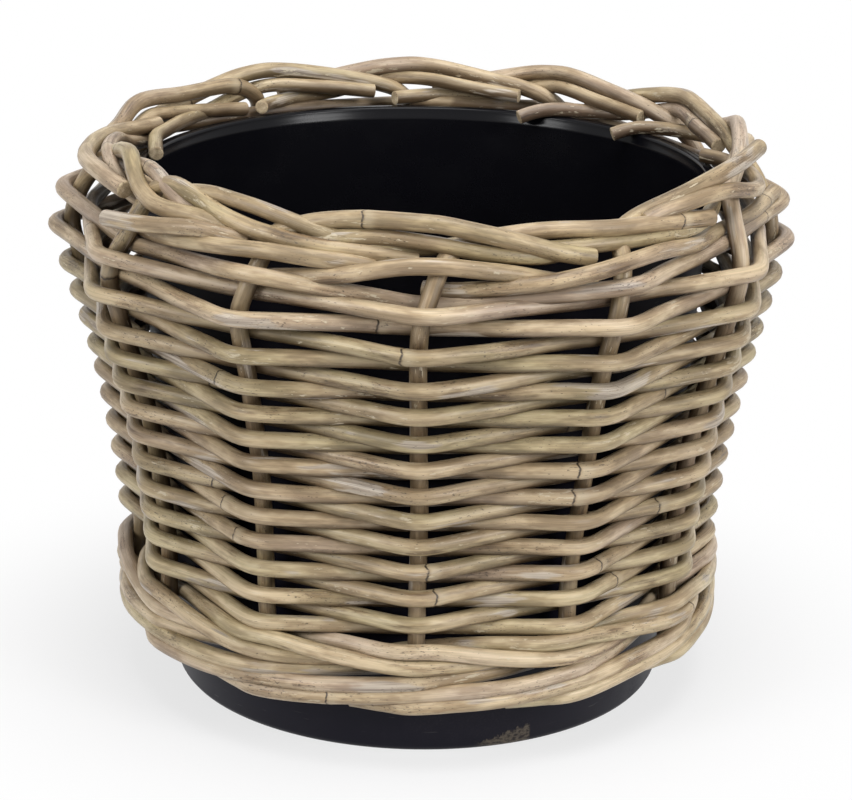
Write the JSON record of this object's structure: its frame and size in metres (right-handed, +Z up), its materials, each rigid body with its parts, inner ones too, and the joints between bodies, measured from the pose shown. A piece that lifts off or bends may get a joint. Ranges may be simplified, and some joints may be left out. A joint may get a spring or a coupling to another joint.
{
  "type": "rattan planter",
  "caption": "Round flared planter of woven grey rattan cane with a plaited rim, held round a tapered black plastic pot that shows below and inside.",
  "frame": {"origin": "on the floor, at the middle of the pot's flat base", "axes": "+Z up along the pot's axis, -Y towards the viewer of the picture, +X to the viewer's right"},
  "size_m": [0.3986, 0.3983, 0.3016],
  "materials": {
    "rattan": "peeled and greyed cane with a faint sheen, lengthwise grain and dark growth nodes",
    "pot_plastic": "black moulded plastic, satin outside and smooth inside"
  },
  "bodies": {
    "root": {"pot": "pot_plastic", "stake_01": "rattan", "stake_02": "rattan", "stake_03": "rattan", "stake_04": "rattan", "stake_05": "rattan", "stake_06": "rattan", "stake_07": "rattan", "stake_08": "rattan", "stake_09": "rattan", "stake_10": "rattan", "stake_11": "rattan", "stake_12": "rattan", "weaver_01": "rattan", "weaver_02": "rattan", "weaver_03": "rattan", "weaver_04": "rattan", "weaver_05": "rattan", "weaver_06": "rattan", "weaver_07": "rattan", "weaver_08": "rattan", "weaver_09": "rattan", "weaver_10": "rattan", "weaver_11": "rattan", "weaver_12": "rattan", "wale_cane_01": "rattan", "wale_cane_02": "rattan", "wale_cane_03": "rattan", "foot_cane_01": "rattan", "foot_cane_02": "rattan", "foot_cane_03": "rattan", "foot_cane_04": "rattan", "foot_cane_05": "rattan", "foot_cane_06": "rattan", "foot_cane_07": "rattan", "foot_cane_08": "rattan", "foot_cane_09": "rattan", "foot_cane_10": "rattan", "foot_cane_11": "rattan", "foot_cane_12": "rattan", "follower_01": "rattan", "follower_02": "rattan", "follower_03": "rattan", "follower_04": "rattan", "follower_05": "rattan", "follower_06": "rattan", "follower_07": "rattan", "follower_08": "rattan", "follower_09": "rattan", "follower_10": "rattan", "follower_11": "rattan", "follower_12": "rattan"}
  },
  "joints": []
}
